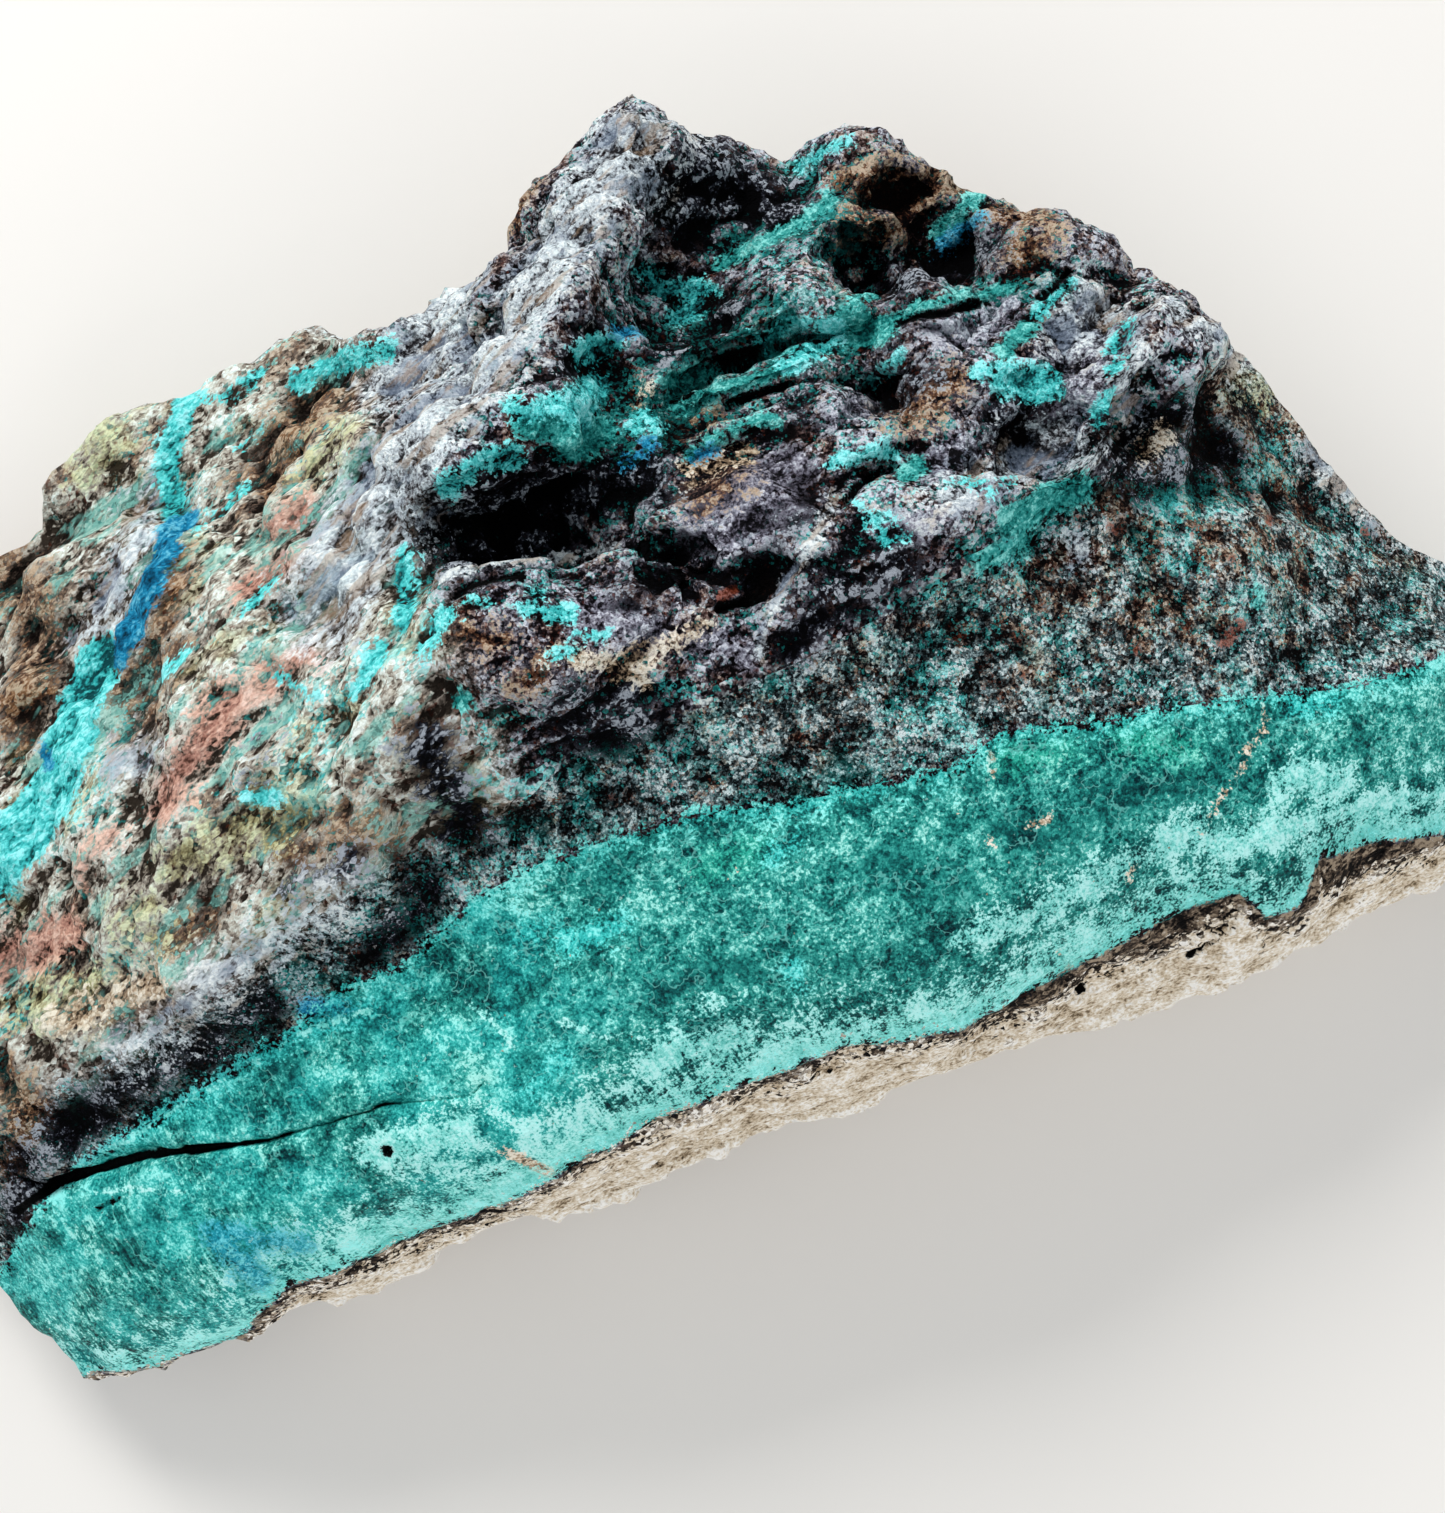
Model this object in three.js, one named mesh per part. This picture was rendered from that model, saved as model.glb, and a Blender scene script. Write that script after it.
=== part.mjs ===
// A rough hand specimen of chrysocolla ore: one broken piece of rock with a green vein along its
// front face, a crest above it, a stepped recess behind the crest and a long slope to the left.
// Millimetres, +Z up. X runs along the vein and Y across it. The origin is a point of the flat
// broken face that the piece lies on.
import * as THREE from "three";
import { ConvexHull } from "three/addons/math/ConvexHull.js";

// Distance between the corners of the surface: along the lines of the rock, in the craggy back, on
// the left slope and on the plain front.
const LINE_SPACING = 1.3;
const CRAG_SPACING = 1.05;
const SLOPE_SPACING = 1.4;
const FRONT_SPACING = 2;

// Rings of the broken side wall, and what the wall does on its way down.
const WALL_ROWS = 5;
const UNDERCUT = 5.5; // how far the resting face stands in from the widest outline
const BULGE = 0.8; // how far the wall stands out below the widest outline

// The widest outline, seen from above, with its height above the resting face: [x, y, z].
const CENTRE = [-2, -2];
const OUTLINE = [
  // front, along the foot of the vein
  [-55, -31.5, 8], [-42.5, -33.5, 9], [-27.5, -32, 11], [-9.5, -33, 11], [12.5, -33.5, 11],
  [23, -35, 10], [37.5, -34.5, 10], [52, -33.5, 9],
  // right end
  [58, -29, 9], [57, -22, 10], [52, -13, 12], [49, -10, 13], [46, -2.5, 15], [43.5, 4.5, 17],
  // the small peak at the right, and the saddle beside it
  [40, 9, 20], [39, 10.5, 19], [38, 11.5, 15], [38.5, 14.5, 13], [34, 18.5, 12],
  // back, from the low lumps to the tall peak
  [30.5, 22, 13], [27.5, 25.5, 12], [24, 27.5, 12], [20, 26.5, 11], [15, 30.5, 14], [12, 33.5, 18],
  [8.5, 33.5, 15], [2.5, 32, 12], [0.5, 28.5, 12], [-8.5, 26, 11],
  // left shoulder and left end
  [-15.5, 28.5, 10], [-29, 28, 10], [-39, 23.5, 8], [-49, 20, 7], [-57.5, 11.5, 7],
  [-61, -0.5, 8], [-59.5, -13, 9], [-57.5, -22.5, 10],
];

// Lines that can be followed on the rock with a finger, as [x, y, z].
const FEATURE_LINES = {
  veinFoot: [
    [-51, -31, 12], [-40, -31.5, 16], [-28, -29, 21], [-17, -29.5, 23.5], [-4.5, -28, 25],
    [9.5, -29, 25.5], [19.5, -27, 25.5], [28.5, -27.5, 24], [32, -30, 22], [37, -28, 20.5],
    [44, -29.5, 17.5], [51.5, -29.5, 13],
  ],
  veinHead: [
    [-51, -20.5, 16], [-46.5, -18, 19], [-27.5, -12.5, 27], [-13, -10.5, 31], [-0.5, -10.5, 33],
    [17.5, -13.5, 32], [33.5, -15.5, 27.5], [47.5, -18, 21],
  ],
  frontCrest: [
    [-55.5, -13.5, 15], [-50, -13, 19], [-39, -12, 24.5], [-28.5, -9.5, 30], [-19.5, -7, 34],
    [-16.5, -2.5, 36], [-11.5, 4, 38.5],
  ],
  knobBack: [[-9, 5.5, 38.5], [-6, 4.5, 39], [-2.5, 2.5, 38.5], [0, 0, 37]],
  knobFront: [[-12, 1.5, 38], [-8.5, 0, 38.5], [-4.5, 0, 38.5], [-1, -2, 37]],
  knobButtress: [[-10.5, -0.5, 37.5], [-11.5, -3.5, 36], [-10.5, -5, 35]],
  knobFoot: [
    [-16.5, -4.5, 33], [-14, -6.5, 32], [-10.5, -7, 32], [-7, -5, 33], [-4, -3.5, 34],
    [0.5, -5.5, 34.5],
  ],
  thinCrest: [[4, -4, 35], [8, -1, 36.5], [10.5, 1.5, 37.5], [15.5, 4.5, 36]],
  rightCrest: [
    [13, -1, 37.5], [19.5, 0, 36.5], [26, 1, 35], [30, 2, 33.5], [33, 5, 31.5], [36, 7.5, 29],
    [38, 9, 26],
  ],
  crestFoot: [
    [8, -4.5, 34], [14.5, -3.5, 33], [20.5, -3, 32], [27.5, -2.5, 30.5], [33, 0, 27.5],
    [41, 2.5, 20],
  ],
  rightFace: [[13, -8.5, 32.5], [26, -8, 30], [37.5, -7, 25], [41, -13.5, 22.5], [48.5, -15, 17]],
  peakRidge: [
    [11.5, 31.5, 21], [9.5, 29, 23], [6, 24, 26.5], [1.5, 19.5, 31], [-3, 16, 35], [-5, 13.5, 36.5],
  ],
  peakFoot: [[15.5, 24.5, 14.5], [11.5, 20.5, 18], [7.5, 19, 21], [3.5, 17, 25]],
  peakFlank: [[6, 31, 18], [3, 27, 19], [-2, 24, 22]],
  thinRidge: [[19.5, 23, 17], [16.5, 22.5, 18], [13.5, 21.5, 18.5]],
  hollowRim: [[-7.5, 12, 36.5], [-3, 13, 35.5], [0.5, 12.5, 33]],
  hollowFloor: [[-8, 10.5, 30], [-5.5, 9.5, 27.5], [-2, 9, 26.5], [2, 8.5, 28.5]],
  slab: [[3, 6.5, 34], [5.5, 8.5, 33], [9, 7, 34], [9, 4, 34.5], [5.5, 4.5, 35]],
  leftBrow: [
    [-1.5, 22, 22.5], [-8, 18, 26.5], [-14, 12, 31], [-17.5, 6.5, 33.5], [-22.5, 0, 32.5],
    [-24, -4.5, 32],
  ],
  leftSlope: [
    [-13.5, 23, 16.5], [-20.5, 18, 20], [-25.5, 11.5, 24], [-30.5, 4.5, 25], [-36, -3, 25.5],
    [-45.5, -8.5, 21],
  ],
  leftFoot: [
    [-26.5, 25, 12.5], [-32.5, 19, 14], [-38.5, 11.5, 15.5], [-43.5, 5, 16.5], [-51.5, -2, 14],
  ],
};

// Layers of rock that end in a step: the lip of each as [x, y, z], and how far its front drops.
const LEDGES = [
  { drop: 2, lip: [[2, 18, 28.5], [4, 18.8, 27.5], [6, 18.3, 26]] },
  { drop: 3.2, lip: [[7, 15.2, 27], [9, 16.2, 26.5], [12, 15.7, 26], [16, 16.3, 25], [21, 14.5, 24]] },
  { drop: 2, lip: [[6, 12.8, 28.5], [8, 13.5, 28], [10, 12.9, 27.5], [15.5, 13, 26.5]] },
  { drop: 1.6, lip: [[5, 10, 30.5], [7, 10.7, 30], [12.5, 10, 29]] },
  { drop: 3, lip: [[23, 15.8, 22.5], [26, 15, 21.5], [30, 15.2, 19.5]] },
  { drop: 3, lip: [[23, 23.6, 17], [26, 24.2, 16.5], [29.5, 23.2, 15]] },
  { drop: 2.5, lip: [[14, 6, 33], [17, 5.6, 32.5], [18.5, 6.5, 31.5]] },
  { drop: 2, lip: [[31, 18.2, 15.5], [34, 17, 15], [36.5, 15.5, 14.5]] },
  { drop: 2, lip: [[30, 11.5, 23.5], [33.5, 10.7, 22.5], [35.5, 11.3, 20.5]] },
];
const LEDGE_RUN = 1.3; // how far the front of a ledge reaches out below its lip

// The crack across the left half of the vein, open at its left end: [x, y, half width, depth].
const CRACK = [
  [-49.5, -18.3, 0.8, 1.8], [-41.5, -18.6, 0.7, 1.5], [-40, -18.9, 0.35, 1.2],
  [-33, -20.2, 0.35, 1.2], [-25, -20.5, 0.3, 1], [-19.5, -21.7, 0.25, 0.8],
];

// Blocks that stand out of the surface, [x, y, top, radius], and pits in it, [x, y, floor, radius].
const BLOCKS = [
  [27, 7, 29.5, 2.6], [21.5, 8, 28.5, 3], [23.5, 12.5, 25.5, 2.6], [17.5, 19, 20.5, 2.8],
  [24.5, 25.5, 15.5, 2.4], [33, 13, 20, 3.2], [31, 9.5, 24, 2.5], [-10, 25, 14.5, 3],
];
const PITS = [
  [26.5, 3.8, 26, 2.2], [22, 18.5, 13, 2], [27.5, 18.5, 11.5, 2.8], [3.5, 3.5, 31, 1.8],
  [7.5, 0.8, 33.2, 1.6], [19, 10, 22, 1.8], [33.5, 1.5, 26.5, 2],
];

// Broken facets on the rock: their size across and how far they stand out or in.
const FACETS = [
  { across: 12, relief: 1.6, seed: 3 },
  { across: 5.5, relief: 1.3, seed: 11 },
  { across: 3, relief: 0.6, seed: 29 },
];
const FACET_SOFTNESS = 10; // larger is a harder edge between facets
const VEIN_ROUGHNESS = 0.14; // share of the relief left on the smooth face of the vein
const CRUST_ROUGHNESS = 0.35; // on the crust below it
const FACE_ROUGHNESS = 0.4; // on the plain face above it
const EDGE_ROUGHNESS = 0.35; // and on sharp crests, lips and the widest outline
const SHARP_CRESTS = ["rightCrest", "thinCrest", "peakRidge", "knobBack", "thinRidge"];

// Distance between the points that fix the height of the surface along a line.
const FIX_SPACING = 3;

const { clamp, smoothstep, lerp } = THREE.MathUtils;

// Points along a line, about one step apart.
function follow(line, step) {
  const points = [line[0]];
  for (let i = 1; i < line.length; i++) {
    const from = new THREE.Vector3(...line[i - 1]);
    const to = new THREE.Vector3(...line[i]);
    const count = Math.max(1, Math.round(from.distanceTo(to) / step));
    for (let k = 1; k <= count; k++) {
      points.push(from.clone().lerp(to, k / count).toArray());
    }
  }
  return points;
}

// Solves a dense set of linear equations by elimination with row exchange.
function solve(matrix, values) {
  const n = values.length;
  const m = matrix.map((row, i) => [...row, values[i]]);
  for (let c = 0; c < n; c++) {
    let best = c;
    for (let r = c + 1; r < n; r++) {
      if (Math.abs(m[r][c]) > Math.abs(m[best][c])) best = r;
    }
    [m[c], m[best]] = [m[best], m[c]];
    for (let r = c + 1; r < n; r++) {
      const share = m[r][c] / m[c][c];
      for (let k = c; k <= n; k++) m[r][k] -= share * m[c][k];
    }
  }
  const found = new Array(n).fill(0);
  for (let r = n - 1; r >= 0; r--) {
    let sum = m[r][n];
    for (let k = r + 1; k < n; k++) sum -= m[r][k] * found[k];
    found[r] = sum / m[r][r];
  }
  return found;
}

// How far the crack cuts down at a place in the plan.
function crackDepth(x, y) {
  let depth = 0;
  for (let i = 1; i < CRACK.length; i++) {
    const [ax, ay, ...from] = CRACK[i - 1];
    const [bx, by, ...to] = CRACK[i];
    const along = ((x - ax) * (bx - ax) + (y - ay) * (by - ay)) / ((bx - ax) ** 2 + (by - ay) ** 2);
    const t = clamp(along, 0, 1);
    const away = Math.hypot(x - lerp(ax, bx, t), y - lerp(ay, by, t));
    depth = Math.max(depth, lerp(from[1], to[1], t) * (1 - away / lerp(from[0], to[0], t)));
  }
  return depth;
}

// The height of the rock over its plan: a tilted plane plus one cone for each point of the lines,
// with the cones' slopes solved so that the surface passes through every point. The blocks and pits
// are then laid over it.
function heightField(points) {
  const n = points.length;
  const rows = points.map(([x, y]) => [
    ...points.map(([px, py]) => Math.hypot(x - px, y - py)), 1, x, y,
  ]);
  const plane = [
    [...points.map(() => 1), 0, 0, 0],
    [...points.map((p) => p[0]), 0, 0, 0],
    [...points.map((p) => p[1]), 0, 0, 0],
  ];
  const slopes = solve([...rows, ...plane], [...points.map((p) => p[2]), 0, 0, 0]);
  return (x, y) => {
    let z = slopes[n] + slopes[n + 1] * x + slopes[n + 2] * y;
    points.forEach(([px, py], i) => {
      z += slopes[i] * Math.hypot(x - px, y - py);
    });
    z -= crackDepth(x, y);
    for (const [bx, by, top, radius] of BLOCKS) {
      const reach = Math.hypot(x - bx, y - by) / radius;
      z = Math.max(z, top - 0.35 * radius * reach ** 4);
    }
    for (const [px, py, floor, radius] of PITS) {
      const reach = Math.hypot(x - px, y - py) / radius;
      z = Math.min(z, floor + 0.8 * radius * reach ** 3);
    }
    return z;
  };
}

// A repeatable number from 0 to 1 for a lattice cell.
function chance(i, j, k, seed) {
  const s = Math.sin(i * 127.1 + j * 311.7 + k * 74.7 + seed * 53.3) * 43758.5453;
  return s - Math.floor(s);
}

// Broken facets: space is split among scattered points, and each has its own tilted flat. The
// result is about -1 to 1, and turns quickly from one flat to the next.
function facets(p, { across, seed }) {
  const q = p.clone().divideScalar(across);
  const cell = q.clone().floor();
  let sum = 0;
  let weight = 0;
  for (let n = 0; n < 27; n++) {
    const i = cell.x + (n % 3) - 1;
    const j = cell.y + (Math.floor(n / 3) % 3) - 1;
    const k = cell.z + Math.floor(n / 9) - 1;
    const dx = q.x - i - chance(i, j, k, seed);
    const dy = q.y - j - chance(i, j, k, seed + 1);
    const dz = q.z - k - chance(i, j, k, seed + 2);
    const near = Math.exp(-FACET_SOFTNESS * (dx * dx + dy * dy + dz * dz));
    const tilt = [3, 4, 5].map((s) => 2 * chance(i, j, k, seed + s) - 1);
    const flat = tilt[0] * dx + tilt[1] * dy + tilt[2] * dz + 2 * chance(i, j, k, seed + 6) - 1;
    sum += near * flat;
    weight += near;
  }
  return sum / weight;
}

// How rough the break is at a point: smooth on the vein, plain on the face above, craggy elsewhere.
function roughness({ x, y, z }) {
  const head = -11 - 0.004 * (x - 2) ** 2;
  const onVein = smoothstep(y, -31, -28);
  const aboveVein = smoothstep(y - head, -1.5, 1.5);
  const inCrags = smoothstep(y - head, 9, 12);
  const vein = lerp(CRUST_ROUGHNESS, VEIN_ROUGHNESS, onVein);
  const front = lerp(lerp(vein, FACE_ROUGHNESS, aboveVein), 0.8, inCrags);
  return lerp(0.7, front, smoothstep(z, 8, 12));
}

// How far a place in the plan is from the nearest of these points.
function distance(x, y, points) {
  return Math.min(...points.map(([px, py]) => Math.hypot(x - px, y - py)));
}

// Whether a place in the plan lies inside the outline.
function isInside(x, y) {
  const crossed = OUTLINE.filter(([ax, ay], i) => {
    const [bx, by] = OUTLINE[(i + 1) % OUTLINE.length];
    return (ay > y) !== (by > y) && x < ax + ((y - ay) * (bx - ax)) / (by - ay);
  });
  return crossed.length % 2 === 1;
}

// The lip and the foot of every ledge.
function ledgeLines() {
  return LEDGES.flatMap(({ lip, drop }) => {
    const fall = (i) => (i === 0 || i === lip.length - 1 ? 0.3 * drop : drop);
    return [lip, lip.map(([x, y, z], i) => [x + 0.3, y - LEDGE_RUN, z - fall(i)])];
  });
}

// The corners of the upper surface in the plan: first the outline, then the lines of the rock, the
// rims of the blocks and pits, and a loose filling in between.
function planCorners(outline) {
  const corners = outline.map(([x, y]) => [x, y]);
  const add = (x, y, gap) => {
    if (isInside(x, y) && distance(x, y, corners) > gap) corners.push([x, y]);
  };
  for (const side of [0, -1, 1]) {
    const line = CRACK.map(([x, y, half]) => [x + 0.05 * side * half, y + side * half, 0]);
    for (const [x, y] of follow(line, LINE_SPACING)) add(x, y, 0.2);
  }
  for (const line of [...ledgeLines(), ...Object.values(FEATURE_LINES)]) {
    for (const [x, y] of follow(line, LINE_SPACING)) add(x, y, 0.9);
  }
  for (const [x, y, , radius] of [...BLOCKS, ...PITS]) {
    for (const reach of [1, 1.35, 0.5]) {
      for (let k = 0; k < 8; k++) {
        const turn = (k * Math.PI) / 4;
        add(x + reach * radius * Math.cos(turn), y + reach * radius * Math.sin(turn), 0.8);
      }
    }
  }
  const fill = (spacing, wanted) => {
    for (let j = 0; j * spacing < 75; j++) {
      for (let i = 0; i * spacing < 125; i++) {
        const x = -62 + spacing * (i + 0.5 * (j % 2) + 0.5 * chance(i, j, 1, 5));
        const y = -37 + spacing * (j + 0.5 * chance(i, j, 2, 5));
        if (wanted(x, y)) add(x, y, 0.72 * spacing);
      }
    }
  };
  fill(FRONT_SPACING, (x, y) => y < -9);
  fill(SLOPE_SPACING, (x, y) => y >= -9 && x < -14);
  fill(CRAG_SPACING, (x, y) => y >= -9 && x >= -14);
  return corners;
}

// Joins the corners to triangles, none of them long and thin: lifted onto a bowl, they are the
// corners of a convex body, whose under side has just those triangles. Those outside the outline
// are left out.
function planTriangles(corners) {
  const lifted = corners.map(([x, y]) => new THREE.Vector3(x, y, x * x + y * y));
  const place = new Map(lifted.map((point, i) => [point, i]));
  const triangles = [];
  for (const face of new ConvexHull().setFromPoints(lifted).faces) {
    const [a, b, c] = [0, 1, 2].map((k) => place.get(face.getEdge(k).head().point));
    const [[ax, ay], [bx, by], [cx, cy]] = [corners[a], corners[b], corners[c]];
    const size = Math.abs((bx - ax) * (cy - ay) - (by - ay) * (cx - ax)) / 2;
    const inside = size > 0.02 && isInside((ax + bx + cx) / 3, (ay + by + cy) / 3);
    if (face.normal.z < 0 && inside) triangles.push(c, b, a);
  }
  return triangles;
}

// The closed surface: the upper surface, a wall of rings down to the resting face, and a fan of
// triangles that closes the resting face.
function rockGeometry() {
  const outline = follow([...OUTLINE, OUTLINE[0]], LINE_SPACING).slice(1);
  const lines = [...Object.values(FEATURE_LINES), [...OUTLINE, OUTLINE[0]]];
  const fixed = [
    ...ledgeLines().flatMap((line) => follow(line, LINE_SPACING)),
    ...lines.flatMap((line) => follow(line, FIX_SPACING)),
  ];
  const height = heightField(fixed.filter(([x, y], i) => distance(x, y, fixed.slice(0, i)) > 0.5));
  const corners = planCorners(outline);
  const positions = corners.flatMap(([x, y]) => [x, y, height(x, y)]);
  const faces = planTriangles(corners);

  let ring = outline.map((_, i) => i);
  const edge = ring.map((i) => positions.slice(3 * i, 3 * i + 3));
  for (let k = 1; k <= WALL_ROWS; k++) {
    const down = k / WALL_ROWS;
    const lower = edge.map(([x, y, z]) => {
      const out = new THREE.Vector2(x - CENTRE[0], y - CENTRE[1]);
      const inward = UNDERCUT * down ** 1.6 - BULGE * Math.sin(Math.PI * down);
      out.setLength(out.length() - inward);
      positions.push(CENTRE[0] + out.x, CENTRE[1] + out.y, z * (1 - down));
      return positions.length / 3 - 1;
    });
    ring.forEach((a, i) => {
      const next = (i + 1) % ring.length;
      faces.push(a, lower[i], lower[next], a, lower[next], ring[next]);
    });
    ring = lower;
  }
  const middle = positions.length / 3;
  positions.push(CENTRE[0] - 6, CENTRE[1] - 5, 0);
  ring.forEach((a, i) => faces.push(middle, ring[(i + 1) % ring.length], a));

  const geometry = new THREE.BufferGeometry();
  geometry.setAttribute("position", new THREE.Float32BufferAttribute(positions, 3));
  geometry.setIndex(faces);
  geometry.computeVertexNormals();
  return geometry;
}

// Moves each corner of the broken surface in or out along its own normal, less near the widest
// outline and the sharp crests. The resting face stays flat, and its rim only moves sideways.
function breakSurface(geometry) {
  const place = geometry.getAttribute("position");
  const normal = geometry.getAttribute("normal");
  const outline = follow([...OUTLINE, OUTLINE[0]], LINE_SPACING);
  const crests = SHARP_CRESTS.flatMap((name) => follow(FEATURE_LINES[name], LINE_SPACING));
  const lips = LEDGES.flatMap(({ lip }) => follow(lip, LINE_SPACING));
  const p = new THREE.Vector3();
  const n = new THREE.Vector3();
  for (let i = 0; i < place.count - 1; i++) {
    p.fromBufferAttribute(place, i);
    n.fromBufferAttribute(normal, i);
    const grounded = p.z === 0;
    if (grounded) n.setZ(0).normalize();
    const fromRim = Math.max(distance(p.x, p.y, outline), 12 - p.z);
    const fromCrest = distance(p.x, p.y, [...crests, ...lips]);
    const open = Math.min(smoothstep(fromRim, 0, 4), smoothstep(fromCrest, 1, 3.5));
    const relief = FACETS.reduce((sum, kind) => sum + kind.relief * facets(p, kind), 0);
    p.addScaledVector(n, relief * roughness(p) * lerp(EDGE_ROUGHNESS, 1, open));
    place.setXYZ(i, p.x, p.y, grounded ? 0 : Math.max(p.z, 0.6));
  }
  geometry.computeVertexNormals();
  return geometry;
}

const rock = new THREE.Mesh(
  breakSurface(rockGeometry()),
  new THREE.MeshStandardMaterial({ color: 0x3f7d74, roughness: 0.85, metalness: 0 }),
);
rock.name = "chrysocolla_rock";

const specimen = new THREE.Group();
specimen.add(rock);

export default specimen;
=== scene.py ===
"""Looks of a rough hand specimen of chrysocolla ore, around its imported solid.

The piece is one broken rock. A smooth green vein runs along its front, with a thin tan crust under
it and a black seam between them. Above the vein lie a peppery grey band, a crest with a knob, a dark
recess with turquoise ledges, and a rusty slope that a turquoise seam crosses.
Plan sizes are in millimetres, with X along the vein, and the scene is in metres.
"""

import itertools
import math

import bpy
import numpy as np
from mathutils import Matrix, Vector


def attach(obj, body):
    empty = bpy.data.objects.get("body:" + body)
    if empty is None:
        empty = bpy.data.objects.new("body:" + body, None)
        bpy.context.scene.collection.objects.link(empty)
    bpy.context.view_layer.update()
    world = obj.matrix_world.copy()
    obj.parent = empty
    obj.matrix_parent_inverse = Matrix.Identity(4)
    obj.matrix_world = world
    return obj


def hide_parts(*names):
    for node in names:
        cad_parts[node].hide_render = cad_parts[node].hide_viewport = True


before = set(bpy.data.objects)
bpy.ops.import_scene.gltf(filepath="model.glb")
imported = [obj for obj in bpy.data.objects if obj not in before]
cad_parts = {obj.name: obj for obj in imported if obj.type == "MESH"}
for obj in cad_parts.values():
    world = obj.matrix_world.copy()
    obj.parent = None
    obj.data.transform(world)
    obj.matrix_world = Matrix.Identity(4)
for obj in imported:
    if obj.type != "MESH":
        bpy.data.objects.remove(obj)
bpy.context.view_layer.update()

# The rock's surface: a natural break in a fine-grained, quartz-rich ore. It has small broken facets
# between the large ones of the solid, a shallow crack in the vein and a few pits in the crust under
# it. The underside is a flat break that the piece rests on.

RELIEF = [  # broken facets: size across (mm), how far they stand out (mm) and the draw's seed
    (4.4, 0.55, 101),
    (2.3, 0.4, 111),
    (1.3, 0.24, 121),
]
VEIN_RELIEF = 0.14  # share of the relief that is left on the smooth vein
BAND_RELIEF = 0.3  # on the even face above it
RECESS_RELIEF = 0.8  # in the recess behind it
SLOPE_RELIEF = 0.6  # and on the left slope
SLOPE_TURN = math.radians(24)  # the left slope's grain, from the X axis

# The vein's upper and lower edge, and the crest above the peppery band, as (x, y).
VEIN_TOP = [
    (-60, -25), (-56, -23), (-51, -20), (-48.5, -18.5), (-45, -17.5), (-34.5, -15.5), (-28, -14),
    (-24.5, -12.8), (-21.5, -13), (-18, -12), (-14.5, -10.5), (-10, -10), (-1, -10.5), (4.5, -12),
    (15, -13.5), (18, -12.5), (23, -14), (28.5, -15), (32.5, -16), (40, -18), (47, -18.5), (58, -21),
]
VEIN_FOOT = [
    (-60, -31), (-52.5, -32), (-49.5, -33), (-42.5, -33), (-36.5, -30), (-27.5, -30), (-23.5, -30),
    (-16, -28.5), (-9.5, -27.5), (2.5, -27.5), (6.5, -28.5), (9.5, -29), (17.5, -28.5), (20, -28),
    (25, -27.5), (29, -27.5), (30.5, -30), (33, -30), (34.5, -27.5), (39, -28), (44, -29.5),
    (56, -30),
]
BAND_TOP = [
    (-60, -14), (-50, -13), (-39, -12), (-28.5, -9.5), (-19.5, -7), (-10.5, -6.5), (-4, -4),
    (0.5, -5), (8, -4.5), (20.5, -3), (27.5, -1.5), (33, 1.5), (41, 4.5), (50, 2),
]
CRACK = [
    (-52.5, -19.5), (-48.5, -18.3), (-41.5, -18.6), (-39.5, -19), (-33, -20.2), (-25, -20.5),
    (-19.5, -21.7),
]
# The vein is a sheet. Its face rises from the foot to the head, at these heights (x, z).
FOOT_HEIGHT = [
    (-55, 11), (-40, 16), (-28, 21), (-17, 23.5), (-4.5, 25), (19.5, 25.5), (28.5, 24), (44, 17.5),
    (56, 10),
]
HEAD_HEIGHT = [
    (-55, 14), (-46.5, 19), (-27.5, 27), (-13, 31), (-0.5, 33), (17.5, 32), (33.5, 27.5), (56, 17),
]
VEIN_THICKNESS = 4.5
SEAM_WIDTH = [  # of the black, peppery seam between the vein and the crust (x, mm)
    (-60, 0.3), (-45, 0.4), (-38, 0.9), (-33, 0.7), (-28, 0.4), (-24, 0.8), (-20, 0.4), (-14, 0.35),
    (-6, 0.3), (-1.5, 0.8), (1, 0.5), (3, 0.25), (8, 0.3), (11, 1.2), (15, 1.9), (18, 1.2),
    (20, 1.3), (24, 2.2), (27, 1.5), (29, 1.2), (31, 0.8), (33, 1.8), (37, 2.4), (41, 1.7),
    (44, 0.8), (58, 0.6),
]
GAPS = [  # narrow slits, splits between ledges, and pits: half width (mm) and line
    (0.2, [(9.5, 15.6), (11.5, 15.4), (13.4, 15.2), (17.4, 14)]),
    (0.2, [(9.7, 14.4), (11.6, 14.6), (13.1, 14.3)]),
    (0.15, [(6.8, 13.6), (8.2, 13.6)]),
    (0.25, [(10.1, 12.1), (12.4, 12), (14.1, 11.9)]),
    (0.25, [(22, 13), (24.6, 12.5), (28.3, 13.2)]),
    (0.25, [(31, 11.8), (32, 12), (33.7, 12.9)]),
    (0.25, [(-9, 6), (-7.8, 6.2), (-5, 5.8)]),
    (0.3, [(5, 0), (7.5, 0)]),
    (0.2, [(14, 3.4), (15.3, 4.1), (17, 4.6)]),
    (0.12, [(-46, -20.8), (-44.4, -20.6)]),
    (0.3, [(-25.8, -23.2)]),
    (0.35, [(18.3, -30.4)]),
    (0.22, [(25.6, -30.8), (27, -30.5)]),
]


def smooth(low, high, value):
    """0 below low and 1 above high, with a soft S between them."""
    t = np.clip((value - low) / (high - low), 0, 1)
    return t * t * (3 - 2 * t)


def line_at(line, x):
    """The second number of a line of pairs at x."""
    xs, ys = np.array(line, float).T
    return np.interp(x, xs, ys)


def away_from(points, line):
    """Distance in the plan from each point to a line of (x, y), or to a single place."""
    line = np.array(line, float).reshape(-1, 2)
    best = np.hypot(*(points[:, :2] - line[0]).T)
    for start, end in zip(line, line[1:]):
        run = end - start
        share = np.clip((points[:, :2] - start) @ run / (run @ run), 0, 1)
        gap = points[:, :2] - start - share[:, None] * run
        best = np.minimum(best, np.hypot(*gap.T))
    return best


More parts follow.
